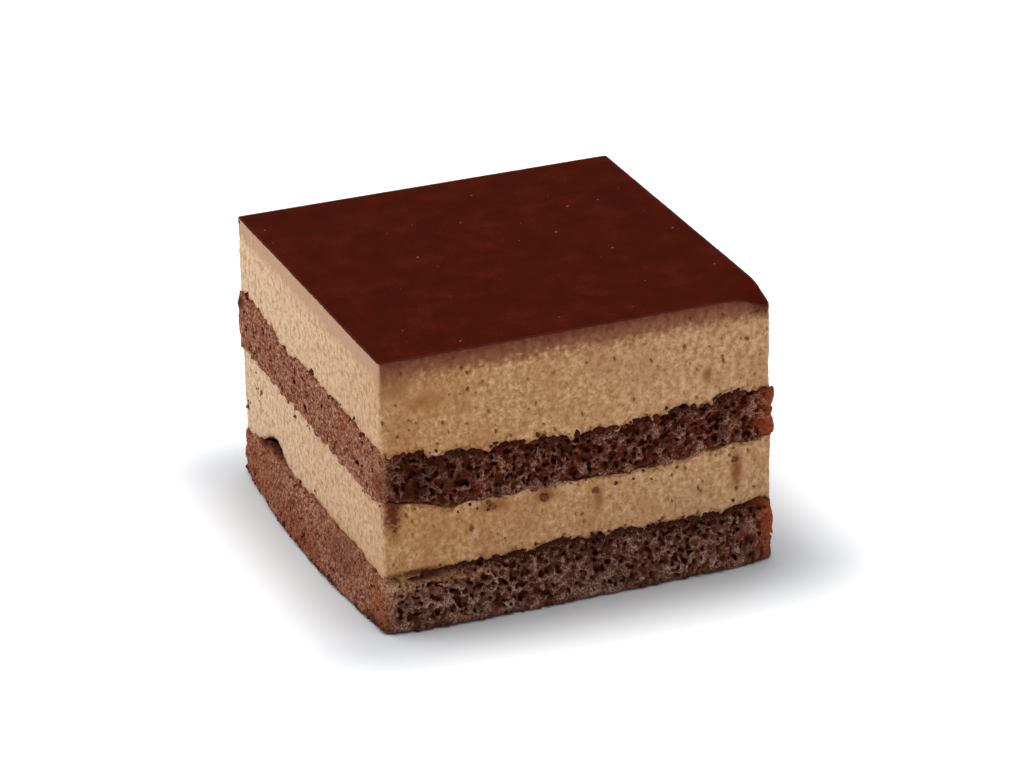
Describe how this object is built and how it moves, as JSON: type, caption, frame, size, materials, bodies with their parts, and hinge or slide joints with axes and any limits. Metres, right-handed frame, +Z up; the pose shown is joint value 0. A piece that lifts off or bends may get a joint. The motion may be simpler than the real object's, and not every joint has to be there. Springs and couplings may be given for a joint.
{
  "type": "mousse cake",
  "caption": "Square portion of layered cake: cocoa sponge and pale coffee mousse in turn, with a flat chocolate glaze on top, standing on its base.",
  "frame": {"origin": "middle of the square outline, on the plane that the cake stands on", "axes": "+Z up through the layers to the glaze; -Y faces the front side, +X the right side"},
  "size_m": [0.0644, 0.0642, 0.042],
  "materials": {
    "cocoa_sponge": "matt, open, torn crumb of dark cocoa sponge",
    "coffee_mousse": "soft satin, knife-cut, with fine air bubbles",
    "chocolate_glaze": "smooth half-gloss set chocolate glaze"
  },
  "bodies": {
    "root": {"sponge_bottom": "cocoa_sponge", "mousse_lower": "coffee_mousse", "sponge_upper": "cocoa_sponge", "mousse_upper": "coffee_mousse", "glaze_top": "chocolate_glaze"}
  },
  "joints": []
}
